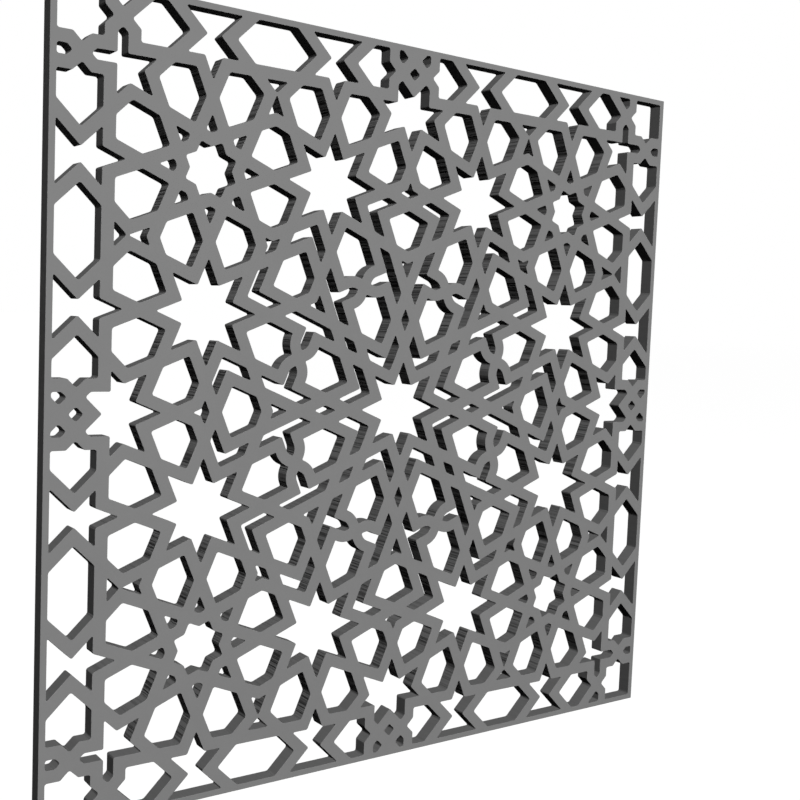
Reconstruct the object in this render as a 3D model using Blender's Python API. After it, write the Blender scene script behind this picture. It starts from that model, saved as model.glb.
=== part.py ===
"""Carved lattice panel: one square board, cut right through into a field of straps.

The straps follow an eightfold star pattern. Each strap runs straight along one of a few named
lines, whose headings are whole steps of 22.5 degrees, and bends where it changes to another line.
The panel is a kaleidoscope: the straps of one wedge, between the upright centre line and the
diagonal, are mirrored into the seven other wedges. The holes are the faces between the straps'
centre lines, drawn in all round by half a strap's width.
Metres, +Z up. The panel stands upright, face towards -Y, with the middle of its bottom edge at
the origin.
"""
import math

import bpy

# Driving dimensions.
SIDE = 0.820  # width and height of the panel
THICKNESS = 0.018  # of the board
STRAP_WIDTH = 0.01285  # the rim keeps half of this
STAR_OFFSET = 0.102  # from a centre line of the panel to the nearer stars of the ring
PETAL_REACH = 0.106  # from a star's centre to the 45 degree lines that close its petals
TWIN_SPACING = 0.0233  # between the centre lines of two straps that run side by side
BEND_RADIUS = 0.018  # of a strap's centre line in a round bend
BEND_PIECES = 3  # straight pieces that make up a round bend

STEP = math.radians(22.5)
TINY = 1e-6

# Straps of the wedge. A strap is a list of runs between the two borders where it starts and ends.
# "7+s4" is a run with heading 7, in steps of 22.5 degrees from +X, along line s4 with the panel's
# centre on its left. A minus sign has the centre on its right. A wave before a run rounds the bend
# into it, as where the twin straps round the middle star swap places.
STRAPS = (
    "diagonal 9+s1 5+s1 upright",
    "diagonal 9+s2 5+s2 upright",
    "upright 15-s6 11+s2 upright",
    "diagonal 7+s6 11-s2 diagonal",
    "diagonal 5+s5 9+s5 upright",
    "diagonal 3+s1 7+s4 ~5+s3 ~7+s5 3-s1 7+s7 5+s3 upright",
    "diagonal 9+s3 7+s7 11-s1 7+s5 ~9+s3 ~7+s4 11+s1 upright",
    "upright 3-s3 15-s8 3-s1 0-q3 13-s9 diagonal",
    "upright 14-d6 12-q1 0-q3 13-s6 1-s6 15-s9 1-s5 diagonal",
    "upright 1-s6 5+s5 2-d4 6+d7 frame",
    "frame 10+d3 14-d8 11-s1 15-s8 diagonal",
    "diagonal 3+s3 5+s8 2-d2 6+d9 frame",
    "diagonal 3+s5 6+d10 2-d1 frame",
    "frame 12-q1 10+d5 upright",
    "upright 2-d6 frame",
    "frame 12-q3 10+d12 12-q2 8+q3 11-s3 9+s5 13-s6 diagonal",
    "diagonal 8+q4 upright",
)
# The last strap into each corner bends upright before it meets the panel's sides, and runs
# straight on to its top and bottom.
CORNER_STRAP_AT_SIDES = "frame 12-q2 14-d11 12-q3 diagonal"
CORNER_STRAP_AT_ENDS = "frame 14-d11 12-q3 diagonal"
# Two straps come so near each other in the border that they merge. This web joins their bends.
WEB = ("14-d8 11-s1", "5+s8 2-d2")


def line_offsets():
    """Distances of the named lines from the panel's centre.

    s lines have odd headings and carry the sides of the eight-pointed stars, d lines run at
    45 degrees, and q lines run level or upright.
    """
    root2 = math.sqrt(2)
    near = STAR_OFFSET
    far = near * (1 + root2)  # ring stars stand at (near, far) and its mirrors, rosettes at (far, far)
    cosine, sine = math.cos(STEP), math.sin(STEP)
    star = near * sine / root2  # from a star's centre to its sides, so that neighbours' tips meet
    ring_low = near * cosine + far * sine
    ring_high = near * sine + far * cosine
    rosette_low = far * (cosine - sine)
    rosette_high = far * (cosine + sine)
    twin = TWIN_SPACING
    reach = PETAL_REACH
    border = far + reach
    valley = far + root2 * reach - twin / root2  # height of the crossings in the border's middle
    return {
        "s1": star,
        "s2": star + twin,
        "s3": rosette_low - star,
        "s4": ring_low - star - twin,
        "s5": ring_low - star,
        "s6": ring_low + star,
        "s7": ring_high - star,
        "s8": ring_high + star,
        "s9": rosette_high + star,
        "d1": reach - twin,
        "d2": reach,
        "d3": near + reach - twin,
        "d4": near + reach,
        "d5": (valley - twin / root2) / root2,
        "d6": (valley + twin / root2) / root2,
        "d7": border - twin,
        "d8": border,
        "d9": root2 * far + reach - twin,
        "d10": root2 * far + reach,
        "d11": (border - twin / 2 + valley) / root2,
        "d12": (valley - border + twin / 2) / root2,
        "q1": twin / root2 + twin / 2,
        "q2": border - twin,
        "q3": border,
        "q4": SIDE / 2,
    }


OFFSETS = line_offsets()
BORDERS = {"upright": (4, 0.0), "diagonal": (2, 0.0), "frame": (8, SIDE / 2)}


def read_line(word):
    """Heading and signed offset of a border or of a run such as 7+s4."""
    if word in BORDERS:
        return BORDERS[word]
    sign = "-" if "-" in word else "+"
    heading, name = word.strip("~").split(sign)
    return int(heading), OFFSETS[name] * (-1 if sign == "-" else 1)


def cross(a, b):
    return a[0] * b[1] - a[1] * b[0]


def meet(first, second):
    """Point where two lines meet, each given as a heading and an offset to its right."""
    (k1, c1), (k2, c2) = first, second
    sine = math.sin((k2 - k1) * STEP)
    x = (c2 * math.cos(k1 * STEP) - c1 * math.cos(k2 * STEP)) / sine
    z = (c2 * math.sin(k1 * STEP) - c1 * math.sin(k2 * STEP)) / sine
    return x, z


def strap_points(strap):
    """A strap's points from border to border, and those of them that are round bends."""
    words = strap.split()
    lines = [read_line(word) for word in words]
    stops = [meet(first, second) for first, second in zip(lines, lines[1:])]
    return stops, [stop for stop, word in zip(stops, words[1:]) if word.startswith("~")]


def split_runs(runs):
    """Cut runs at every point where another one crosses or touches them."""
    pieces = []
    for start, end in runs:
        along = (end[0] - start[0], end[1] - start[1])
        length = math.hypot(*along)
        stops = {0.0: start, 1.0: end}
        for other, other_end in runs:
            across = (other_end[0] - other[0], other_end[1] - other[1])
            bottom = cross(along, across)
            if abs(bottom) < TINY * length * math.hypot(*across):
                continue
            gap = (other[0] - start[0], other[1] - start[1])
            share = cross(gap, across) / bottom
            other_share = cross(gap, along) / bottom
            if not (TINY < share < 1 - TINY and -TINY < other_share < 1 + TINY):
                continue
            stops[share] = (start[0] + share * along[0], start[1] + share * along[1])
        ordered = [stops[share] for share in sorted(stops)]
        pieces += zip(ordered, ordered[1:])
    return pieces


def wedge_mirrors():
    """Signs for X and Z, and whether X and Z change places, for each of the eight wedges."""
    return [(sx, sz, swap) for sx in (1, -1) for sz in (1, -1) for swap in (False, True)]


def place(point, mirror):
    sx, sz, swap = mirror
    x, z = point[::-1] if swap else point
    return sx * x, sz * z


def node_of(point):
    """The same key for points that differ only by rounding."""
    return round(point[0] / TINY), round(point[1] / TINY)


def build_network():
    """All the straps' centre lines, as a graph.

    Gives each node's point, each node's neighbours, the web edges and the round nodes.
    """
    points = {}
    neighbours = {}
    webs = set()
    rounds = set()

    def add(start, end, is_web=False):
        first, second = node_of(start), node_of(end)
        if first == second:
            return
        points.setdefault(first, start)
        points.setdefault(second, end)
        neighbours.setdefault(first, set()).add(second)
        neighbours.setdefault(second, set()).add(first)
        if is_web:
            webs.update([(first, second), (second, first)])

    web_ends = [meet(*map(read_line, words.split())) for words in WEB]
    for corner_strap, swapped in ((CORNER_STRAP_AT_ENDS, False), (CORNER_STRAP_AT_SIDES, True)):
        runs = []
        round_bends = []
        for strap in STRAPS + (corner_strap,):
            stops, round_stops = strap_points(strap)
            runs += zip(stops, stops[1:])
            round_bends += round_stops
        pieces = split_runs(runs)
        for mirror in wedge_mirrors():
            if mirror[2] != swapped:
                continue
            for start, end in pieces:
                add(place(start, mirror), place(end, mirror))
            add(*(place(end, mirror) for end in web_ends), is_web=True)
            rounds.update(node_of(place(bend, mirror)) for bend in round_bends)
    return points, neighbours, webs, rounds


def trace_faces(points, neighbours):
    """Loops of nodes round the faces of the network, each with its face on the left."""
    turn_order = {}
    for node, others in neighbours.items():
        x, z = points[node]
        turn_order[node] = sorted(
            others, key=lambda other: math.atan2(points[other][1] - z, points[other][0] - x))
    unused = {(node, other) for node in neighbours for other in neighbours[node]}
    faces = []
    for first in sorted(unused):
        if first not in unused:
            continue
        loop = []
        node, other = first
        while (node, other) in unused:
            unused.discard((node, other))
            loop.append(node)
            around = turn_order[other]
            node, other = other, around[around.index(node) - 1]
        area = sum(cross(points[a], points[b]) for a, b in zip(loop, loop[1:] + loop[:1])) / 2
        if area > 0:
            faces.append(loop)
    return faces


def arc(corner, before, after, turn, reach):
    """Points of a round corner between two headings, starting the given reach before it."""
    side = reach / math.tan(turn / 2)
    start = (corner[0] - before[0] * reach, corner[1] - before[1] * reach)
    centre = (start[0] - before[1] * side, start[1] + before[0] * side)
    spoke = (start[0] - centre[0], start[1] - centre[1])
    result = []
    for piece in range(BEND_PIECES + 1):
        angle = turn * piece / BEND_PIECES
        cosine, sine = math.cos(angle), math.sin(angle)
        result.append((centre[0] + spoke[0] * cosine - spoke[1] * sine,
                       centre[1] + spoke[0] * sine + spoke[1] * cosine))
    return result


def hole_outline(face, points, webs, rounds):
    """A face drawn in by half a strap's width, or nothing where that closes it."""
    half = STRAP_WIDTH / 2
    sides = []
    for start, end in zip(face, face[1:] + face[:1]):
        if (start, end) in webs:
            sides.append(None)
            continue
        (x1, z1), (x2, z2) = points[start], points[end]
        length = math.hypot(x2 - x1, z2 - z1)
        heading = ((x2 - x1) / length, (z2 - z1) / length)
        if sides and sides[-1] and abs(cross(sides[-1][0], heading)) < TINY:
            continue
        sides.append((heading, (x1 - heading[1] * half, z1 + heading[0] * half), start))
    if sides[0] and sides[-1] and abs(cross(sides[-1][0], sides[0][0])) < TINY:
        sides.pop(0)
    corners = []
    for index, this in enumerate(sides):
        last = sides[index - 1]
        if this is None:
            continue
        beside_web = last is None
        if beside_web:
            last = sides[index - 2]
        (before, p), (after, q) = last[:2], this[:2]
        share = cross((q[0] - p[0], q[1] - p[1]), after) / cross(before, after)
        corner = (p[0] + before[0] * share, p[1] + before[1] * share)
        turn = math.atan2(cross(before, after), before[0] * after[0] + before[1] * after[1])
        reach = 0.0
        if this[2] in rounds:
            reach = (BEND_RADIUS - math.copysign(half, turn)) * math.tan(abs(turn) / 2)
        corners.append((corner, before, after, turn, reach))
    spans = []
    for (corner, _, after, _, _), (following, *_) in zip(corners, corners[1:] + corners[:1]):
        gap = (following[0] - corner[0], following[1] - corner[1])
        spans.append(gap[0] * after[0] + gap[1] * after[1])
    if max(spans) < 0:
        return None
    if min(spans) < 0:
        raise ValueError("a hole's outline crosses itself")
    outline = []
    for index, (corner, before, after, turn, reach) in enumerate(corners):
        if reach > min(spans[index - 1], spans[index]):
            raise ValueError("a round bend is longer than the side of a hole that it starts on")
        outline += arc(corner, before, after, turn, reach) if reach else [corner]
    return outline


def hole_outlines():
    points, neighbours, webs, rounds = build_network()
    faces = trace_faces(points, neighbours)
    outlines = [hole_outline(face, points, webs, rounds) for face in faces]
    return [outline for outline in outlines if outline]


def clear_scene():
    for old in list(bpy.data.objects):
        bpy.data.objects.remove(old, do_unlink=True)


def make_material():
    """Matt mid-grey paint on all faces, the cut ones included."""
    paint = bpy.data.materials.new("matt_grey_paint")
    paint.use_nodes = True
    shader = paint.node_tree.nodes["Principled BSDF"]
    shader.inputs["Base Color"].default_value = (0.23, 0.23, 0.23, 1)
    shader.inputs["Roughness"].default_value = 0.85
    shader.inputs["Metallic"].default_value = 0.0
    return paint


def add_loop(curve, outline):
    """Add a closed straight-sided loop to a flat curve."""
    spline = curve.splines.new("POLY")
    spline.points.add(len(outline) - 1)
    for point, (x, y) in zip(spline.points, outline):
        point.co = (x, y, 0, 1)
    spline.use_cyclic_u = True


def make_panel(collection, paint):
    """The board with its holes: a flat filled curve, given its thickness and stood up."""
    curve = bpy.data.curves.new("lattice_panel", "CURVE")
    curve.dimensions = "2D"
    curve.fill_mode = "BOTH"
    curve.extrude = THICKNESS / 2
    half = SIDE / 2
    add_loop(curve, [(-half, -half), (half, -half), (half, half), (-half, half)])
    for outline in hole_outlines():
        add_loop(curve, outline)
    curve.materials.append(paint)
    panel = bpy.data.objects.new("lattice_panel", curve)
    panel.location = (0, 0, half)
    panel.rotation_euler = (math.radians(90), 0, 0)
    collection.objects.link(panel)


def main():
    clear_scene()
    collection = bpy.data.collections.new("carved_lattice_panel")
    bpy.context.scene.collection.children.link(collection)
    make_panel(collection, make_material())


main()
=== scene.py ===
"""Carved lattice panel: a square board cut right through into an eightfold star pattern.

The panel is a kaleidoscope. The straps of one wedge run along a few named lines, and mirrors make
the rest. The faces between the straps' centre lines are the holes, and their corners are rounded.
Geometry Nodes build the board from them: they mirror a quarter of the holes, draw each hole in by
half a strap's width, cut it through the board with its arrises eased, and fill the face and the
back.
"""
import math

import bmesh
import bpy
from mathutils import Matrix, Vector


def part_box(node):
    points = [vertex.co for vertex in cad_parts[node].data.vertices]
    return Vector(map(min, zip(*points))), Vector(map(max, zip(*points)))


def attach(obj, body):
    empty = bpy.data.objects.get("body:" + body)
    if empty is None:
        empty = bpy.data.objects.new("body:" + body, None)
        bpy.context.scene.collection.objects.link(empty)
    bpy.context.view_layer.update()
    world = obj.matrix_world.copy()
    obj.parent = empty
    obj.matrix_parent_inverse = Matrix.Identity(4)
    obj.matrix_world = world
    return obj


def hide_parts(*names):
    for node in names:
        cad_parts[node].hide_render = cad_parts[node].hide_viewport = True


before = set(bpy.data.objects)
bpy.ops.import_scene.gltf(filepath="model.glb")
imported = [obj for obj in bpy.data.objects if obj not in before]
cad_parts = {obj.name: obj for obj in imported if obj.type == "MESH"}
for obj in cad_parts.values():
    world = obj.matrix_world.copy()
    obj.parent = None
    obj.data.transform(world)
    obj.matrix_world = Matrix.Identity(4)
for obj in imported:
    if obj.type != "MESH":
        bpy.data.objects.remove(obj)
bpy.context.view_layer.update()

bl_info = {
    "name": "Carved Lattice Panel",
    "version": (1, 0, 0),
    "blender": (4, 5, 0),
    "location": "View3D > Sidebar > Lattice",
    "description": "A square board cut through into an eightfold star lattice, painted matt grey",
    "category": "Add Mesh",
}

NODE = "lattice_panel"
LOWEST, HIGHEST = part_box(NODE)
BOARD_SIDE = round(HIGHEST.z - LOWEST.z, 5)
BOARD_THICKNESS = round(HIGHEST.y - LOWEST.y, 5)

STEP = math.radians(22.5)  # between neighbouring headings
TINY = 1e-6
MERGE_DISTANCE = 1e-5  # points of the board nearer than this are one
FULL_ROUNDING = 3 * STEP  # a corner that turns by less is rounded over a shorter way
ROUNDING_SHARE = 0.48  # the most that one rounding takes of a side's straight length
# How much of a face's normal points out of the board's plane: less than the first on the cut
# faces, less than the second on the arrises, and more on the face and the back.
CUT_TILT, ARRIS_TILT = 0.1, 0.995

# The paints: sizes in metres, and shares of the whole.
CLOUD_SIZE = 0.16
PATCH_SIZE = 0.012
TONE_SHARES = (0.5, 0.3, 0.2)  # of clouds, patches and stipple in the board paint's shade
CUT_TONE_SHARES = (0.7, 0.3)  # of patches and grain in the cut paint's shade
TONE_SPREAD = 0.20  # how far from a half the noise has to be for the lightest and darkest shade
CUT_TONE_SPREAD = 0.18
NOISE_RANGE = (0.3, 0.7)  # what the noise mostly stays in
ROUGH_SPREAD = (-0.06, 0.06)  # how far the roughness goes to either hand of the usual one
CUT_ROUGH_SPREAD = (-0.02, 0.10)
WEAR = (1.2, -0.2)  # an arris is rubbed by the patches' noise times the first, plus the second
CUT_PATCH_STEPS = 2.5  # size of the cut paint's patches, in steps of the cutter
PAINT_SPECULAR = 0.25
GRAIN_STRENGTH = 0.5
WORN_SHADE = 1.25  # how much lighter the paint is where an arris is rubbed

# The studio, in metres.
FLOOR_REACH = 60.0
KEY_WAY = Vector((-0.124, -0.911, 0.393)).normalized()  # from the panel to the key light
KEY_DISTANCE = 7
KEY_SIZE = 2.6
SUN_DISTANCE = 5
SUN_ANGLE = math.radians(3)

# Straps of the wedge between the upright centre line and the diagonal. A strap is a list of runs
# between the two borders where it starts and ends. "7+s4" is a run with heading 7, in steps of
# 22.5 degrees from +X, along line s4 with the panel's centre on its left. A minus sign has the
# centre on its right. A wave before a run rounds the bend into it.
STRAPS = (
    "diagonal 9+s1 5+s1 upright",
    "diagonal 9+s2 5+s2 upright",
    "upright 15-s6 11+s2 upright",
    "diagonal 7+s6 11-s2 diagonal",
    "diagonal 5+s5 9+s5 upright",
    "diagonal 3+s1 7+s4 ~5+s3 ~7+s5 3-s1 7+s7 5+s3 upright",
    "diagonal 9+s3 7+s7 11-s1 7+s5 ~9+s3 ~7+s4 11+s1 upright",
    "upright 3-s3 15-s8 3-s1 0-q3 13-s9 diagonal",
    "upright 14-d6 12-q1 0-q3 13-s6 1-s6 15-s9 1-s5 diagonal",
    "upright 1-s6 5+s5 2-d4 6+d7 frame",
    "frame 10+d3 14-d8 11-s1 15-s8 diagonal",
    "diagonal 3+s3 5+s8 2-d2 6+d9 frame",
    "diagonal 3+s5 6+d10 2-d1 frame",
    "frame 12-q1 10+d5 upright",
    "upright 2-d6 frame",
    "frame 12-q3 10+d12 12-q2 8+q3 11-s3 9+s5 13-s6 diagonal",
    "diagonal 8+q4 upright",
)
# The last strap into each corner bends upright before it meets the panel's sides, and runs
# straight on to its top and bottom.
CORNER_STRAP_AT_SIDES = "frame 12-q2 14-d11 12-q3 diagonal"
CORNER_STRAP_AT_ENDS = "frame 14-d11 12-q3 diagonal"
# Two straps come so near each other in the border that they merge. This web joins their bends.
WEB = ("14-d8 11-s1", "5+s8 2-d2")


# ---------------------------------------------------------------- sizes, colours and lights


class LatticeSizes(bpy.types.PropertyGroup):
    """Sizes of the panel."""

    side: bpy.props.FloatProperty(
        name="Side",
        description="Width and height of the panel",
        default=BOARD_SIDE, min=0.1, unit="LENGTH")
    thickness: bpy.props.FloatProperty(
        name="Thickness",
        description="Thickness of the board",
        default=BOARD_THICKNESS, min=0.003, unit="LENGTH")
    strap_width: bpy.props.FloatProperty(
        name="Strap Width",
        description="Width of a strap; the rim keeps half of it",
        default=0.01285, min=0.002, unit="LENGTH")
    star_offset: bpy.props.FloatProperty(
        name="Star Offset",
        description="From a centre line of the panel to the nearer stars of the ring",
        default=0.102, min=0.01, unit="LENGTH")
    petal_reach: bpy.props.FloatProperty(
        name="Petal Reach",
        description="From a star's centre to the 45 degree lines that close its petals",
        default=0.106, min=0.01, unit="LENGTH")
    twin_spacing: bpy.props.FloatProperty(
        name="Twin Spacing",
        description="Between the centre lines of two straps that run side by side",
        default=0.0233, min=0.002, unit="LENGTH")
    bend_radius: bpy.props.FloatProperty(
        name="Bend Radius",
        description="Radius of a strap's centre line in a round bend",
        default=0.018, min=0.007, unit="LENGTH")
    bend_pieces: bpy.props.IntProperty(
        name="Bend Pieces",
        description="Straight pieces that make up a round bend",
        default=10, min=1, max=24)
    inner_corner: bpy.props.FloatProperty(
        name="Inner Corner",
        description="How far from an inner corner of a hole its rounding starts",
        default=0.0024, min=0.0002, unit="LENGTH")
    outer_corner: bpy.props.FloatProperty(
        name="Outer Corner",
        description="How far from a corner of a strap its rounding starts",
        default=0.0018, min=0.0002, unit="LENGTH")
    corner_pieces: bpy.props.IntProperty(
        name="Corner Pieces",
        description="Straight pieces in each 22.5 degrees of a rounded corner",
        default=1, min=1, max=3)
    arris_radius: bpy.props.FloatProperty(
        name="Arris Radius",
        description="How far the cut edges are eased with sandpaper",
        default=0.00025, min=0.00005, unit="LENGTH")
    arris_steps: bpy.props.IntProperty(
        name="Arris Steps",
        description="Strips that make up an eased edge",
        default=3, min=1, max=6)


class LatticePaint(bpy.types.PropertyGroup):
    """Colour and surface of the paint."""

    colour: bpy.props.FloatVectorProperty(
        name="Paint",
        description="Colour of the matt paint on the face, the back and the edges",
        subtype="COLOR", size=4, min=0, max=1, default=(0.23, 0.23, 0.23, 1))
    mottle: bpy.props.FloatProperty(
        name="Mottle",
        description="How much the paint's colour varies over the board",
        subtype="FACTOR", min=0, max=1, default=0.05)
    roughness: bpy.props.FloatProperty(
        name="Roughness",
        description="Roughness of the dry paint",
        subtype="FACTOR", min=0, max=1, default=0.85)
    stipple_size: bpy.props.FloatProperty(
        name="Stipple Size",
        description="Grain size of the rolled paint",
        default=0.0012, min=0.0002, unit="LENGTH")
    stipple_depth: bpy.props.FloatProperty(
        name="Stipple Depth",
        description="Depth of the rolled paint's grain",
        default=0.00006, min=0, unit="LENGTH")
    step_length: bpy.props.FloatProperty(
        name="Step Length",
        description="Usual length of the cutter's steps along a slanting side",
        default=0.0012, min=0.0005, unit="LENGTH")
    step_slope: bpy.props.FloatProperty(
        name="Step Slope",
        description="The most that a step leans to either hand of a slanting side",
        default=math.radians(34), min=0, max=math.radians(45), unit="ROTATION")


class LatticeStudio(bpy.types.PropertyGroup):
    """Floor, lights and camera."""

    floor_colour: bpy.props.FloatVectorProperty(
        name="Floor",
        description="How much of the lamps' light the floor gives back",
        subtype="COLOR", size=4, min=0, max=1, default=(0.10, 0.10, 0.10, 1))
    floor_glow: bpy.props.FloatProperty(
        name="Floor Glow",
        description="Even white light in the floor, as on a lit studio table",
        default=0.98, min=0)
    key_power: bpy.props.FloatProperty(
        name="Key Light",
        description="Power of the large soft lamp in front, above and a little left",
        default=502, min=0, unit="POWER")
    back_strength: bpy.props.FloatProperty(
        name="Back Light",
        description="Strength of the light that falls squarely on the back",
        default=3.4, min=0)
    side_strength: bpy.props.FloatProperty(
        name="Side Light",
        description="Strength of the light that falls squarely on the right edge",
        default=0.8, min=0)
    fill_strength: bpy.props.FloatProperty(
        name="Fill",
        description="Weak light from all round",
        default=0.004, min=0)
    camera_place: bpy.props.FloatVectorProperty(
        name="Camera",
        description="Where the camera stands",
        subtype="TRANSLATION", size=3, default=(-0.7484, -1.0758, 0.5136))
    camera_turn: bpy.props.FloatVectorProperty(
        name="Camera Turn",
        description="Tilt, roll and heading of the camera",
        subtype="EULER", size=3,
        default=(math.radians(85.748), math.radians(-2.380), math.radians(-36.455)))
    camera_lens: bpy.props.FloatProperty(
        name="Lens",
        description="Focal length on a 36 mm wide sensor",
        default=50.91, min=10, unit="CAMERA")
    camera_shift: bpy.props.FloatVectorProperty(
        name="Lens Shift",
        description="How far the picture is shifted on the lens, in picture widths",
        size=2, default=(-0.0414, 0.0059))


# ---------------------------------------------------------------- the straps' centre lines


def line_offsets(sizes):
    """Distances of the named lines from the panel's centre.

    s lines have odd headings and carry the sides of the eight-pointed stars, d lines run at
    45 degrees, and q lines run level or upright.
    """
    root2 = math.sqrt(2)
    near = sizes.star_offset
    far = near * (1 + root2)  # ring stars stand at (near, far) and its mirrors
    cosine, sine = math.cos(STEP), math.sin(STEP)
    star = near * sine / root2  # from a star's centre to its sides, so that neighbours' tips meet
    ring_low = near * cosine + far * sine
    ring_high = near * sine + far * cosine
    rosette_low = far * (cosine - sine)
    rosette_high = far * (cosine + sine)
    twin = sizes.twin_spacing
    reach = sizes.petal_reach
    border = far + reach
    valley = far + root2 * reach - twin / root2  # height of the crossings in the border's middle
    return {
        "s1": star,
        "s2": star + twin,
        "s3": rosette_low - star,
        "s4": ring_low - star - twin,
        "s5": ring_low - star,
        "s6": ring_low + star,
        "s7": ring_high - star,
        "s8": ring_high + star,
        "s9": rosette_high + star,
        "d1": reach - twin,
        "d2": reach,
        "d3": near + reach - twin,
        "d4": near + reach,
        "d5": (valley - twin / root2) / root2,
        "d6": (valley + twin / root2) / root2,
        "d7": border - twin,
        "d8": border,
        "d9": root2 * far + reach - twin,
        "d10": root2 * far + reach,
        "d11": (border - twin / 2 + valley) / root2,
        "d12": (valley - border + twin / 2) / root2,
        "q1": twin / root2 + twin / 2,
        "q2": border - twin,
        "q3": border,
        "q4": sizes.side / 2,
    }


class Network:
    """All the straps' centre lines as a graph, with the panel's centre at the origin."""

    def __init__(self, sizes):
        self.offsets = line_offsets(sizes)
        self.borders = {"upright": (4, 0.0), "diagonal": (2, 0.0), "frame": (8, sizes.side / 2)}
        self.points = {}
        self.neighbours = {}
        self.webs = set()
        self.rounds = set()
        web_ends = [self.meet(*map(self.read_line, words.split())) for words in WEB]
        wedge_kinds = ((CORNER_STRAP_AT_ENDS, False), (CORNER_STRAP_AT_SIDES, True))
        for corner_strap, swapped in wedge_kinds:
            runs = []
            round_bends = []
            for strap in STRAPS + (corner_strap,):
                words = strap.split()
                lines = [self.read_line(word) for word in words]
                stops = [self.meet(first, second) for first, second in zip(lines, lines[1:])]
                runs += zip(stops, stops[1:])
                round_bends += [
                    stop for stop, word in zip(stops, words[1:]) if word.startswith("~")]
            pieces = split_runs(runs)
            for signs in ((1, 1), (1, -1), (-1, 1), (-1, -1)):
                for start, end in pieces:
                    self.add(place(start, signs, swapped), place(end, signs, swapped))
                web = [place(end, signs, swapped) for end in web_ends]
                self.add(*web)
                self.webs.add(frozenset(map(node_of, web)))
                self.rounds.update(node_of(place(bend, signs, swapped)) for bend in round_bends)

    def read_line(self, word):
        """Heading and signed offset of a border or of a run such as 7+s4."""
        if word in self.borders:
            return self.borders[word]
        sign = "-" if "-" in word else "+"
        heading, name = word.strip("~").split(sign)
        return int(heading), self.offsets[name] * (-1 if sign == "-" else 1)

    @staticmethod
    def meet(first, second):
        """Point where two lines meet, each given as its heading and signed offset."""
        (k1, c1), (k2, c2) = first, second
        sine = math.sin((k2 - k1) * STEP)
        x = (c2 * math.cos(k1 * STEP) - c1 * math.cos(k2 * STEP)) / sine
        z = (c2 * math.sin(k1 * STEP) - c1 * math.sin(k2 * STEP)) / sine
        return x, z

    def add(self, start, end):
        """Join two points by a centre line, unless they are the same."""
        first, second = node_of(start), node_of(end)
        if first == second:
            return
        self.points.setdefault(first, start)
        self.points.setdefault(second, end)
        self.neighbours.setdefault(first, set()).add(second)
        self.neighbours.setdefault(second, set()).add(first)

    def faces(self):
        """Loops of nodes round the faces of the network, each with its face on the left."""
        turn_order = {}
        for node, others in self.neighbours.items():
            x, z = self.points[node]
            turn_order[node] = sorted(others, key=lambda other: math.atan2(
                self.points[other][1] - z, self.points[other][0] - x))
        unused = {(node, other) for node in self.neighbours for other in self.neighbours[node]}
        loops = []
        for first in sorted(unused):
            if first not in unused:
                continue
            loop = []
            node, other = first
            while (node, other) in unused:
                unused.discard((node, other))
                loop.append(node)
                around = turn_order[other]
                node, other = other, around[around.index(node) - 1]
            twice_area = sum(cross(self.points[a], self.points[b])
                             for a, b in zip(loop, loop[1:] + loop[:1]))
            if twice_area > 0:
                loops.append(loop)
        return loops


def cross(a, b):
    """Cross product of two vectors in the pattern's plane."""
    return a[0] * b[1] - a[1] * b[0]


def split_runs(runs):
    """Cut runs at every point where another one crosses or touches them."""
    pieces = []
    for start, end in runs:
        along = (end[0] - start[0], end[1] - start[1])
        length = math.hypot(*along)
        stops = {0.0: start, 1.0: end}
        for other, other_end in runs:
            across = (other_end[0] - other[0], other_end[1] - other[1])
            bottom = cross(along, across)
            if abs(bottom) < TINY * length * math.hypot(*across):
                continue
            gap = (other[0] - start[0], other[1] - start[1])
            share = cross(gap, across) / bottom
            other_share = cross(gap, along) / bottom
            if TINY < share < 1 - TINY and -TINY < other_share < 1 + TINY:
                stops[share] = (start[0] + share * along[0], start[1] + share * along[1])
        ordered = [stops[share] for share in sorted(stops)]
        pieces += zip(ordered, ordered[1:])
    return pieces


def place(point, signs, swapped):
    """A wedge's point in one of the panel's eight wedges."""
    x, z = point[::-1] if swapped else point
    return signs[0] * x, signs[1] * z


def node_of(point):
    """The same key for points that differ only by rounding."""
    return round(point[0] / TINY), round(point[1] / TINY)


def hole_sides(face, network):
    """Sides of a face, each with its heading, a point on it and the node where it starts.

    Sides that run straight on are one, and a side along a web is left out.
    """
    sides = []
    for start, end in zip(face, face[1:] + face[:1]):
        if frozenset((start, end)) in network.webs:
            continue
        heading = (Vector(network.points[end]) - Vector(network.points[start])).normalized()
        if not (sides and abs(cross(sides[-1][0], heading)) < TINY):
            sides.append((heading, Vector(network.points[start]), start))
    if abs(cross(sides[-1][0], sides[0][0])) < TINY:
        sides.pop(0)
    return sides


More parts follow.
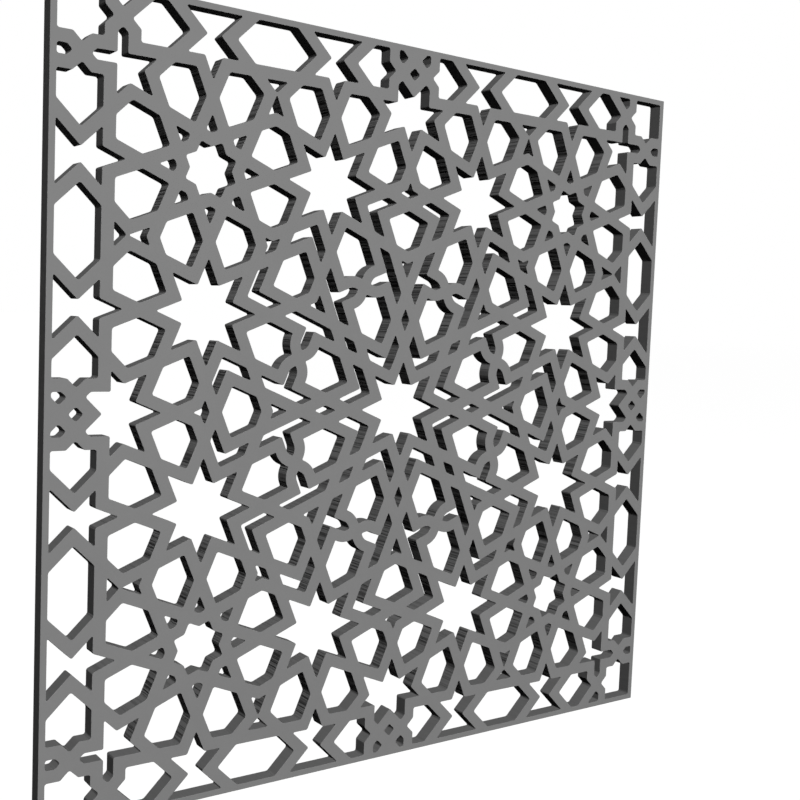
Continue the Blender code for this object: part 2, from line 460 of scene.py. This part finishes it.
def hole_loop(face, network, sizes):
    """A hole's outline on the centre lines, its corners rounded, and how its points move inwards.

    The move is for every metre that a strap's edge lies off its centre line. The third value is 0
    at the ends of a rounding and 1 between them. A side along a web isn't drawn in: the sides
    before and after it are run on until they meet. Nothing is given where half a strap's width
    closes the hole.
    """
    sides = hole_sides(face, network)
    half = sizes.strap_width / 2
    corners = []
    drawn_in = []
    bends = []
    for (before, p, _), (after, q, node) in zip(sides[-1:] + sides[:-1], sides):
        corner = p + before * (cross(q - p, after) / cross(before, after))
        left, next_left = before.orthogonal(), after.orthogonal()
        mitre = (left + next_left) / (1 + left.dot(next_left))
        turn = math.atan2(cross(before, after), before.dot(after))
        bend = (sizes.bend_radius - math.copysign(half, turn)) * math.tan(abs(turn) / 2)
        corners.append((corner, mitre, left, turn))
        drawn_in.append(corner + mitre * half)
        bends.append(bend if node in network.rounds else 0.0)
    spans = [b - a for a, b in zip(drawn_in, drawn_in[1:] + drawn_in[:1])]
    if all(span.dot(heading) < 0 for span, (heading, *_) in zip(spans, sides)):
        return []
    free = [span.length - bends[index] - bends[(index + 1) % len(bends)]
            for index, span in enumerate(spans)]
    loop = []
    for index, (corner, mitre, left, turn) in enumerate(corners):
        pieces = sizes.bend_pieces
        reach = bends[index]
        if not reach:
            pieces = round(abs(turn) / STEP) * sizes.corner_pieces
            wanted = sizes.inner_corner if turn > 0 else sizes.outer_corner
            room = ROUNDING_SHARE * min(free[index - 1], free[index])
            reach = min(wanted * min(1, abs(turn) / FULL_ROUNDING), room)
        swing = half + math.copysign(reach / math.tan(abs(turn) / 2), turn)
        for piece in range(pieces + 1):
            move = Matrix.Rotation(turn * piece / pieces, 2) @ left
            loop.append((corner + (mitre - move) * swing, move, float(0 < piece < pieces)))
    return loop


def quarter_mesh(sizes):
    """Edges round the holes of the top right quarter, on the straps' centre lines, lying flat.

    A hole that stands across a centre line of the panel is whole.
    """
    points = []
    moves = []
    roundings = []
    edges = []
    network = Network(sizes)
    for face in network.faces():
        middle = sum((Vector(network.points[node]) for node in face), Vector((0, 0))) / len(face)
        if min(middle) < -TINY:
            continue
        loop = hole_loop(face, network, sizes)
        first = len(points)
        edges += [(first + i, first + (i + 1) % len(loop)) for i in range(len(loop))]
        for point, move, rounding in loop:
            points.append((point.x, point.y, 0))
            moves += (move.x, move.y, 0)
            roundings.append(rounding)
    mesh = bpy.data.meshes.new("quarter of the holes")
    mesh.from_pydata(points, edges, [])
    mesh.attributes.new("inward", "FLOAT_VECTOR", "POINT").data.foreach_set("vector", moves)
    mesh.attributes.new("rounding", "FLOAT", "POINT").data.foreach_set("value", roundings)
    return mesh


# ---------------------------------------------------------------- node trees


def add_node(tree, kind, inputs=None, **settings):
    """Add a node with its own settings, and link or set its inputs, given by name or place."""
    node = tree.nodes.new(kind)
    for name, value in settings.items():
        setattr(node, name, value)
    for key, value in (inputs or {}).items():
        if isinstance(value, bpy.types.NodeSocket):
            tree.links.new(value, node.inputs[key])
        else:
            node.inputs[key].default_value = value
    return node


def maths(tree, operation, *values):
    """Output of a Math node."""
    inputs = dict(enumerate(values))
    return add_node(tree, "ShaderNodeMath", inputs, operation=operation).outputs[0]


def vector_maths(tree, operation, *values):
    """Output of a Vector Math node. A vector is scaled by a number given second."""
    inputs = dict(enumerate(values))
    if operation == "SCALE":
        inputs = {"Vector": values[0], "Scale": values[1]}
    return add_node(tree, "ShaderNodeVectorMath", inputs, operation=operation).outputs["Vector"]


def lay_out(tree):
    """Stand each node to the right of the nodes that it reads."""
    columns = {}
    for _ in tree.nodes:
        for link in tree.links:
            column = columns.get(link.from_node, 0) + 1
            columns[link.to_node] = max(columns.get(link.to_node, 0), column)
    rows = {}
    for node in tree.nodes:
        column = columns.get(node, 0)
        rows[column] = rows.get(column, 0) + 1
        node.location = (220 * column, -260 * rows[column])


def part_of(tree, vector, axis):
    """One coordinate of a vector."""
    return add_node(tree, "ShaderNodeSeparateXYZ", {"Vector": vector}).outputs[axis]


def upwards(tree, length):
    """A vector along Z."""
    return add_node(tree, "ShaderNodeCombineXYZ", {"Z": length}).outputs[0]


def read_attribute(tree, name, data_type="FLOAT_VECTOR"):
    """An attribute of the geometry by name."""
    reader = add_node(
        tree, "GeometryNodeInputNamedAttribute", {"Name": name}, data_type=data_type)
    return reader.outputs["Attribute"]


def store(tree, geometry, name, value, data_type="FLOAT_VECTOR", domain="POINT"):
    """The geometry with a value stored on it by name."""
    return add_node(
        tree, "GeometryNodeStoreNamedAttribute",
        {"Geometry": geometry, "Name": name, "Value": value},
        data_type=data_type, domain=domain).outputs["Geometry"]


def set_place(tree, geometry, **inputs):
    """The geometry with its points moved, to a Position or by an Offset."""
    return add_node(
        tree, "GeometryNodeSetPosition", {"Geometry": geometry, **inputs}).outputs[0]


def merge(tree, geometry):
    """The geometry with points that coincide made one."""
    return add_node(tree, "GeometryNodeMergeByDistance", {
        "Geometry": geometry, "Distance": MERGE_DISTANCE}).outputs[0]


def join(tree, *parts):
    """Several geometries as one, in their order."""
    node = tree.nodes.new("GeometryNodeJoinGeometry")
    for part in reversed(parts):
        tree.links.new(part, node.inputs[0])
    return node.outputs[0]


def with_mirror(tree, geometry, signs):
    """The geometry and its mirror image, with the corners' moves mirrored too."""
    position = add_node(tree, "GeometryNodeInputPosition").outputs[0]
    turned = set_place(tree, geometry, Position=vector_maths(tree, "MULTIPLY", position, signs))
    inward = vector_maths(tree, "MULTIPLY", read_attribute(tree, "inward"), signs)
    return join(tree, geometry, store(tree, turned, "inward", inward))


def ring_place(tree, half_strap, half_board, arris, angle, behind):
    """Where the edge ring of a hole lies: its corners drawn in, at a depth.

    The angle turns from the face, 0, to the wall of the cut, a right angle, and on to the back.
    Behind is 0 for rings on the front arris and 1 for those on the back one.
    """
    across = maths(tree, "SUBTRACT", half_strap, arris)
    drawn_in = maths(tree, "MULTIPLY_ADD", maths(tree, "SINE", angle), arris, across)
    side = maths(tree, "MULTIPLY_ADD", behind, -2.0, 1.0)
    straight = maths(tree, "MULTIPLY", maths(tree, "SUBTRACT", half_board, arris), side)
    depth = maths(tree, "MULTIPLY_ADD", maths(tree, "COSINE", angle), arris, straight)
    moved = vector_maths(tree, "SCALE", read_attribute(tree, "inward"), drawn_in)
    in_plane = vector_maths(tree, "ADD", read_attribute(tree, "centre_line"), moved)
    return vector_maths(tree, "ADD", in_plane, upwards(tree, depth))


def pull_walls(tree, rings, steps, place_ring):
    """Walls of the cuts, pulled out of their first rings of edges.

    Each step pulls a new ring out of the last one, round the front arris, through the board and
    round the back arris.
    """
    start = tree.nodes.new("GeometryNodeRepeatInput")
    end = tree.nodes.new("GeometryNodeRepeatOutput")
    start.pair_with_output(end)
    end.repeat_items.new("BOOLEAN", "Newest Ring")
    tree.links.new(maths(tree, "MULTIPLY_ADD", steps, 2.0, 1.0), start.inputs["Iterations"])
    tree.links.new(rings, start.inputs["Geometry"])
    start.inputs["Newest Ring"].default_value = True
    pulled = add_node(tree, "GeometryNodeExtrudeMesh", {
        "Mesh": start.outputs["Geometry"],
        "Selection": start.outputs["Newest Ring"],
        "Offset Scale": 0.0}, mode="EDGES").outputs
    turn = start.outputs["Iteration"]
    behind = maths(tree, "GREATER_THAN", maths(tree, "ADD", turn, 0.5), steps)
    turned = maths(tree, "SUBTRACT", maths(tree, "ADD", turn, 1.0), behind)
    angle = maths(tree, "MULTIPLY", maths(tree, "DIVIDE", turned, steps), math.pi / 2)
    placed = set_place(
        tree, pulled["Mesh"], Selection=pulled["Top"], Position=place_ring(angle, behind))
    tree.links.new(placed, end.inputs["Geometry"])
    tree.links.new(pulled["Top"], end.inputs["Newest Ring"])
    return end.outputs["Geometry"]


def fill_sides(tree, rings, half_board):
    """The face and the back: what lies between the outline and the holes, at both depths."""
    loops = add_node(tree, "GeometryNodeMeshToCurve", {"Mesh": rings}).outputs[0]
    filled = add_node(
        tree, "GeometryNodeFillCurve", {"Curve": loops}, mode="TRIANGLES").outputs[0]
    forwards = upwards(tree, half_board)
    face = set_place(tree, filled, Offset=forwards)
    back = set_place(tree, filled, Offset=vector_maths(tree, "SCALE", forwards, -1.0))
    return face, add_node(tree, "GeometryNodeFlipFaces", {"Mesh": back}).outputs[0]


def mark_faces(tree, board, normal, tilt):
    """Mark the arrises, and how much the cutter steps on each cut face."""
    is_cut = maths(tree, "LESS_THAN", tilt, CUT_TILT)
    on_arris = maths(tree, "MULTIPLY", maths(tree, "GREATER_THAN", tilt, CUT_TILT),
                     maths(tree, "LESS_THAN", tilt, ARRIS_TILT))
    # The cutter steps where it runs along neither the machine's axes nor their diagonals. The
    # sine of four times a side's angle is 0 along those, and 1 halfway between them.
    x, y = part_of(tree, normal, "X"), part_of(tree, normal, "Y")
    sine2 = maths(tree, "MULTIPLY", maths(tree, "MULTIPLY", x, y), 2.0)
    cosine2 = maths(tree, "SUBTRACT", maths(tree, "MULTIPLY", x, x), maths(tree, "MULTIPLY", y, y))
    sine4 = maths(tree, "MULTIPLY", maths(tree, "MULTIPLY", sine2, cosine2), 2.0)
    stepped = maths(tree, "MULTIPLY", maths(tree, "ABSOLUTE", sine4), is_cut)
    board = store(tree, board, "arris", on_arris, "FLOAT", "FACE")
    return store(tree, board, "stepped", stepped, "FLOAT", "FACE")


def set_shading(tree, board, tilt, half_board, arris):
    """Shade roundings and arrises smooth, and keep their rims and the ends of the sides sharp."""
    board = add_node(tree, "GeometryNodeSetShadeSmooth", {
        "Geometry": board, "Selection": maths(tree, "LESS_THAN", tilt, ARRIS_TILT)}).outputs[0]
    position = add_node(tree, "GeometryNodeInputPosition").outputs[0]
    height = maths(tree, "ABSOLUTE", part_of(tree, position, "Z"))
    rim = maths(tree, "COMPARE", height, maths(tree, "SUBTRACT", half_board, arris), TINY)
    face_rim = maths(tree, "COMPARE", height, half_board, TINY)
    ends = add_node(tree, "GeometryNodeInputMeshEdgeVertices").outputs
    along = vector_maths(tree, "SUBTRACT", ends["Position 1"], ends["Position 2"])
    depth = maths(tree, "ABSOLUTE", part_of(tree, along, "Z"))
    through = maths(tree, "GREATER_THAN", depth, TINY)
    straight = maths(tree, "LESS_THAN", read_attribute(tree, "rounding", "FLOAT"), 0.5)
    side_end = maths(tree, "MULTIPLY", through, straight)
    sharp = maths(tree, "MAXIMUM", side_end, maths(tree, "MAXIMUM", rim, face_rim))
    return add_node(tree, "GeometryNodeSetShadeSmooth", {
        "Geometry": board, "Selection": sharp, "Shade Smooth": False}, domain="EDGE").outputs[0]


def board_tree():
    """Node tree that makes the cut board from a quarter of the straps' centre lines."""
    tree = bpy.data.node_groups.new("lattice board", "GeometryNodeTree")
    sockets = tree.interface
    sockets.new_socket("Geometry", in_out="INPUT", socket_type="NodeSocketGeometry")
    for name in ("Side", "Thickness", "Strap Width", "Arris Radius"):
        size = sockets.new_socket(name, in_out="INPUT", socket_type="NodeSocketFloat")
        size.subtype = "DISTANCE"
    sockets.new_socket("Arris Steps", in_out="INPUT", socket_type="NodeSocketInt")
    for name in ("Paint", "Cut Paint"):
        sockets.new_socket(name, in_out="INPUT", socket_type="NodeSocketMaterial")
    sockets.new_socket("Geometry", in_out="OUTPUT", socket_type="NodeSocketGeometry")
    given = tree.nodes.new("NodeGroupInput").outputs
    half_board = maths(tree, "MULTIPLY", given["Thickness"], 0.5)
    half_strap = maths(tree, "MULTIPLY", given["Strap Width"], 0.5)
    arris = given["Arris Radius"]

    def place_ring(angle, behind):
        return ring_place(tree, half_strap, half_board, arris, angle, behind)

    # Holes of all four quarters, and the square outline of the board, whose corners move outwards.
    holes = with_mirror(tree, given["Geometry"], (-1, 1, 1))
    holes = with_mirror(tree, holes, (1, -1, 1))
    square_side = maths(tree, "SUBTRACT", given["Side"], given["Strap Width"])
    square = add_node(tree, "GeometryNodeCurvePrimitiveQuadrilateral", {
        "Width": square_side, "Height": square_side}).outputs[0]
    outline = add_node(tree, "GeometryNodeCurveToMesh", {"Curve": square}).outputs[0]
    position = add_node(tree, "GeometryNodeInputPosition").outputs[0]
    outline = store(tree, outline, "inward", vector_maths(tree, "SIGN", position))
    rings = store(tree, join(tree, holes, outline), "centre_line", position)

    # The first ring of edges lies on the face. Holes across a centre line were mirrored onto
    # themselves, and are merged.
    rings = merge(tree, set_place(tree, rings, Position=place_ring(0.0, 0.0)))
    walls = pull_walls(tree, rings, given["Arris Steps"], place_ring)
    face, back = fill_sides(tree, rings, half_board)
    board = merge(tree, join(tree, walls, face, back))
    normal = add_node(tree, "GeometryNodeInputNormal").outputs[0]
    tilt = maths(tree, "ABSOLUTE", part_of(tree, normal, "Z"))
    board = mark_faces(tree, board, normal, tilt)
    board = set_shading(tree, board, tilt, half_board, arris)
    for name in ("inward", "centre_line", "rounding"):
        board = add_node(
            tree, "GeometryNodeRemoveAttribute", {"Geometry": board, "Name": name}).outputs[0]

    # The board stands up, its face to -Y and its bottom edge on the floor.
    board = add_node(tree, "GeometryNodeTransform", {
        "Geometry": board,
        "Translation": upwards(tree, maths(tree, "MULTIPLY", given["Side"], 0.5)),
        "Rotation": (math.pi / 2, 0, 0)}).outputs[0]
    board = add_node(tree, "GeometryNodeRealizeInstances", {"Geometry": board}).outputs[0]
    board = add_node(tree, "GeometryNodeSetMaterial", {
        "Geometry": board, "Material": given["Paint"]}).outputs[0]
    tilt_standing = maths(tree, "ABSOLUTE", part_of(tree, normal, "Y"))
    board = add_node(tree, "GeometryNodeSetMaterial", {
        "Geometry": board,
        "Selection": maths(tree, "LESS_THAN", tilt_standing, CUT_TILT),
        "Material": given["Cut Paint"]}).outputs[0]
    add_node(tree, "NodeGroupOutput", {"Geometry": board})
    lay_out(tree)
    return tree


# ---------------------------------------------------------------- paint


def noise(tree, place, size, detail=2.0, roughness=0.5):
    """Noise whose blobs are about the given size."""
    return add_node(tree, "ShaderNodeTexNoise", {
        "Vector": place, "Scale": 1 / size,
        "Detail": detail, "Roughness": roughness}).outputs["Fac"]


def ramp(tree, value, stops):
    """Colour ramp through (place, colour) stops."""
    node = add_node(tree, "ShaderNodeValToRGB", {"Fac": value})
    elements = node.color_ramp.elements
    while len(elements) < len(stops):
        elements.new(0.5)
    for element, (where, colour) in zip(elements, stops):
        element.position = where
        element.color = colour
    return node.outputs["Color"]


def shade(colour, factor):
    """A colour made lighter or darker."""
    return tuple(min(1.0, part * factor) for part in colour[:3]) + (1.0,)


def mottled(tree, tone, paint, spread):
    """The paint's colour, lighter and darker where a tone is above and below a half."""
    return ramp(tree, tone, (
        (0.5 - spread, shade(paint.colour, 1 - paint.mottle)),
        (0.5, shade(paint.colour, 1.0)),
        (0.5 + spread, shade(paint.colour, 1 + paint.mottle))))


def new_paint(name):
    """A material, its node tree and the board's own coordinates."""
    material = bpy.data.materials.new(name)
    material.use_nodes = True
    tree = material.node_tree
    shader = tree.nodes["Principled BSDF"]
    shader.inputs["Metallic"].default_value = 0.0
    shader.inputs["Specular IOR Level"].default_value = PAINT_SPECULAR
    return material, tree, add_node(tree, "ShaderNodeTexCoord").outputs["Object"]


def finish_paint(tree, paint, colour, rough, rough_spread, grain, normal=None):
    """Link the colour, the roughness, which follows a noise, and the bump of the grain."""
    lowest, highest = (min(1.0, paint.roughness + change) for change in rough_spread)
    roughness = add_node(tree, "ShaderNodeMapRange", {
        "Value": rough, "From Min": NOISE_RANGE[0], "From Max": NOISE_RANGE[1],
        "To Min": lowest, "To Max": highest}).outputs[0]
    bump = add_node(tree, "ShaderNodeBump", {
        "Height": grain, "Strength": GRAIN_STRENGTH, "Distance": paint.stipple_depth})
    if normal is not None:
        tree.links.new(normal, bump.inputs["Normal"])
    shader = tree.nodes["Principled BSDF"].inputs
    tree.links.new(colour, shader["Base Color"])
    tree.links.new(roughness, shader["Roughness"])
    tree.links.new(bump.outputs[0], shader["Normal"])
    lay_out(tree)


def board_paint(paint):
    """Matt paint, rolled on: slow changes of shade, a fine stipple, and arrises rubbed lighter."""
    material, tree, place = new_paint("matt grey board paint")
    clouds = noise(tree, place, CLOUD_SIZE, 3.0)
    patches = noise(tree, place, PATCH_SIZE, 3.0, 0.6)
    stipple = noise(tree, place, paint.stipple_size, 2.0, 0.6)
    cloud_share, patch_share, stipple_share = TONE_SHARES
    tone = maths(tree, "ADD", maths(tree, "MULTIPLY", clouds, cloud_share),
                 maths(tree, "MULTIPLY", patches, patch_share))
    tone = maths(tree, "MULTIPLY_ADD", stipple, stipple_share, tone)
    base = mottled(tree, tone, paint, TONE_SPREAD)
    rubbed = add_node(tree, "ShaderNodeAttribute", attribute_name="arris").outputs["Fac"]
    wear = maths(tree, "MULTIPLY", rubbed, maths(tree, "MULTIPLY_ADD", patches, *WEAR))
    worn = add_node(tree, "ShaderNodeMix", {
        0: wear, 6: base, 7: shade(paint.colour, WORN_SHADE)}, data_type="RGBA").outputs[2]
    finish_paint(tree, paint, worn, patches, ROUGH_SPREAD, stipple)
    return material


def cut_paint(paint):
    """The same paint, thin on the cut faces, where the cutter's steps show through."""
    material, tree, place = new_paint("matt grey paint on cut faces")
    stepped = add_node(tree, "ShaderNodeAttribute", attribute_name="stepped").outputs["Fac"]
    grain = noise(tree, place, paint.stipple_size, 2.0)
    flattened = vector_maths(tree, "MULTIPLY", place, (1.0, 0.0, 1.0))
    patches = noise(tree, flattened, paint.step_length * CUT_PATCH_STEPS, 2.0)
    patch_share, grain_share = CUT_TONE_SHARES
    tone = maths(tree, "MULTIPLY_ADD", grain, grain_share,
                 maths(tree, "MULTIPLY", patches, patch_share))
    base = mottled(tree, tone, paint, CUT_TONE_SPREAD)
    # The cutter moves only square or at 45 degrees, so it follows a slanting side in short steps
    # that lean to either hand of it. Cells over the pattern's plane say how far each step leans.
    cells = add_node(tree, "ShaderNodeTexVoronoi", {
        "Vector": flattened, "Scale": 1 / paint.step_length}).outputs["Color"]
    drawn = part_of(tree, cells, "X")
    lean = maths(tree, "MULTIPLY", maths(tree, "MULTIPLY_ADD", drawn, 2.0, -1.0), stepped)
    lean = maths(tree, "MULTIPLY", lean, math.tan(paint.step_slope))
    outwards = add_node(tree, "ShaderNodeNewGeometry").outputs["Normal"]
    along = vector_maths(tree, "CROSS_PRODUCT", outwards, (0, 1, 0))
    leaning = vector_maths(tree, "ADD", outwards, vector_maths(tree, "SCALE", along, lean))
    finish_paint(tree, paint, base, grain, CUT_ROUGH_SPREAD, grain,
                 vector_maths(tree, "NORMALIZE", leaning))
    return material


# ---------------------------------------------------------------- the panel


def input_names(tree):
    """Identifiers of a tree's inputs by name, as a modifier wants them."""
    return {item.name: item.identifier
            for item in tree.interface.items_tree if item.in_out == "INPUT"}


def finished_mesh(panel):
    """Plain mesh of what the panel's modifier makes, closed, with its faces pointing outwards."""
    graph = bpy.context.evaluated_depsgraph_get()
    mesh = bpy.data.meshes.new_from_object(panel.evaluated_get(graph))
    mesh.name = panel.name
    work = bmesh.new()
    work.from_mesh(mesh)
    bmesh.ops.recalc_face_normals(work, faces=work.faces)
    open_edges = sum(len(edge.link_faces) != 2 for edge in work.edges)
    if open_edges:
        raise RuntimeError(f"the panel's mesh has {open_edges} edges that don't join two faces")
    if work.calc_volume() <= 0:
        raise RuntimeError("the panel's mesh is inside out")
    work.to_mesh(mesh)
    work.free()
    return mesh


class LATTICE_OT_panel(bpy.types.Operator):
    """Make the carved lattice panel and paint it"""

    bl_idname = "lattice.make_panel"
    bl_label = "Carved Lattice Panel"

    def execute(self, context):
        sizes = context.scene.lattice_sizes
        paint = context.scene.lattice_paint
        panel = bpy.data.objects.new("carved_panel", quarter_mesh(sizes))
        context.scene.collection.objects.link(panel)
        modifier = panel.modifiers.new("lattice board", "NODES")
        modifier.node_group = board_tree()
        names = input_names(modifier.node_group)
        for name, value in (
                ("Side", sizes.side),
                ("Thickness", sizes.thickness),
                ("Strap Width", sizes.strap_width),
                ("Arris Radius", sizes.arris_radius),
                ("Arris Steps", sizes.arris_steps),
                ("Paint", board_paint(paint)),
                ("Cut Paint", cut_paint(paint))):
            modifier[names[name]] = value
        mesh = finished_mesh(panel)
        panel.modifiers.remove(modifier)
        base = panel.data
        panel.data = mesh
        bpy.data.meshes.remove(base)
        # The studio is shadowless: straps neither shade nor light each other.
        panel.visible_diffuse = False
        panel.visible_shadow = False
        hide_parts(NODE)
        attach(panel, "root")
        return {"FINISHED"}


# ---------------------------------------------------------------- floor, lights and camera


def add_lamp(scene, name, kind, place, towards, strength, **settings):
    """A lamp that points from its place to another point."""
    lamp = bpy.data.lights.new(name, kind)
    lamp.energy = strength
    for setting, value in settings.items():
        setattr(lamp, setting, value)
    holder = bpy.data.objects.new(name, lamp)
    holder.location = place
    holder.rotation_euler = (towards - place).to_track_quat("-Z", "Y").to_euler()
    scene.collection.objects.link(holder)


def add_floor(scene, studio):
    """A wide pale floor under the panel, evenly lit, that throws no light up onto it."""
    mesh = bpy.data.meshes.new("floor")
    corners = ((-1, -1), (1, -1), (1, 1), (-1, 1))
    mesh.from_pydata(
        [(x * FLOOR_REACH, y * FLOOR_REACH, 0) for x, y in corners], [], [(0, 1, 2, 3)])
    material = bpy.data.materials.new("pale floor")
    material.use_nodes = True
    shader = material.node_tree.nodes["Principled BSDF"]
    shader.inputs["Base Color"].default_value = studio.floor_colour
    shader.inputs["Roughness"].default_value = 0.9
    shader.inputs["Emission Color"].default_value = (1, 1, 1, 1)
    shader.inputs["Emission Strength"].default_value = studio.floor_glow
    mesh.materials.append(material)
    floor = bpy.data.objects.new("floor", mesh)
    floor.visible_diffuse = False
    floor.visible_glossy = False
    scene.collection.objects.link(floor)


def light_background(scene, studio):
    """White behind everything, and only a weak light from it."""
    world = bpy.data.worlds.new("studio")
    world.use_nodes = True
    tree = world.node_tree
    background = tree.nodes["Background"]
    background.inputs["Color"].default_value = (1, 1, 1, 1)
    seen = add_node(tree, "ShaderNodeLightPath").outputs["Is Camera Ray"]
    strength = maths(tree, "MAXIMUM", seen, studio.fill_strength)
    tree.links.new(strength, background.inputs["Strength"])
    lay_out(tree)
    scene.world = world


class LATTICE_OT_studio(bpy.types.Operator):
    """Make the floor, the lights and the camera"""

    bl_idname = "lattice.make_studio"
    bl_label = "Studio"

    def execute(self, context):
        scene = context.scene
        studio = scene.lattice_studio
        middle = Vector((0, 0, scene.lattice_sizes.side / 2))
        add_floor(scene, studio)
        light_background(scene, studio)
        add_lamp(scene, "key light", "AREA", middle + KEY_WAY * KEY_DISTANCE, middle,
                 studio.key_power, size=KEY_SIZE)
        add_lamp(scene, "back light", "SUN", middle + Vector((0, SUN_DISTANCE, 0)), middle,
                 studio.back_strength, angle=SUN_ANGLE)
        add_lamp(scene, "side light", "SUN", middle + Vector((SUN_DISTANCE, 0, 0)), middle,
                 studio.side_strength, angle=SUN_ANGLE)
        camera = bpy.data.cameras.new("camera")
        camera.sensor_width = 36
        camera.lens = studio.camera_lens
        camera.shift_x, camera.shift_y = studio.camera_shift
        camera.clip_start = 0.01
        camera.clip_end = 200
        holder = bpy.data.objects.new("camera", camera)
        holder.location = studio.camera_place
        holder.rotation_euler = studio.camera_turn
        scene.collection.objects.link(holder)
        scene.camera = holder
        scene.view_settings.view_transform = "Standard"
        return {"FINISHED"}


# ---------------------------------------------------------------- add-on


class LATTICE_PT_sidebar(bpy.types.Panel):
    """Sizes, paint and studio of the lattice panel"""

    bl_idname = "LATTICE_PT_sidebar"
    bl_label = "Carved Lattice Panel"
    bl_space_type = "VIEW_3D"
    bl_region_type = "UI"
    bl_category = "Lattice"

    def draw(self, context):
        for name, operator in (
                ("lattice_sizes", LATTICE_OT_panel),
                ("lattice_paint", None),
                ("lattice_studio", LATTICE_OT_studio)):
            settings = getattr(context.scene, name)
            box = self.layout.box()
            for prop in settings.bl_rna.properties.keys():
                if prop not in ("rna_type", "name"):
                    box.prop(settings, prop)
            if operator:
                box.operator(operator.bl_idname)


SETTINGS = {
    "lattice_sizes": LatticeSizes,
    "lattice_paint": LatticePaint,
    "lattice_studio": LatticeStudio,
}
CLASSES = (*SETTINGS.values(), LATTICE_OT_panel, LATTICE_OT_studio, LATTICE_PT_sidebar)


def register():
    for cls in CLASSES:
        bpy.utils.register_class(cls)
    for name, group in SETTINGS.items():
        setattr(bpy.types.Scene, name, bpy.props.PointerProperty(type=group))


def unregister():
    for name in SETTINGS:
        delattr(bpy.types.Scene, name)
    for cls in reversed(CLASSES):
        bpy.utils.unregister_class(cls)


def main():
    register()
    bpy.ops.lattice.make_panel()
    bpy.ops.lattice.make_studio()


if __name__ == "__main__":
    main()
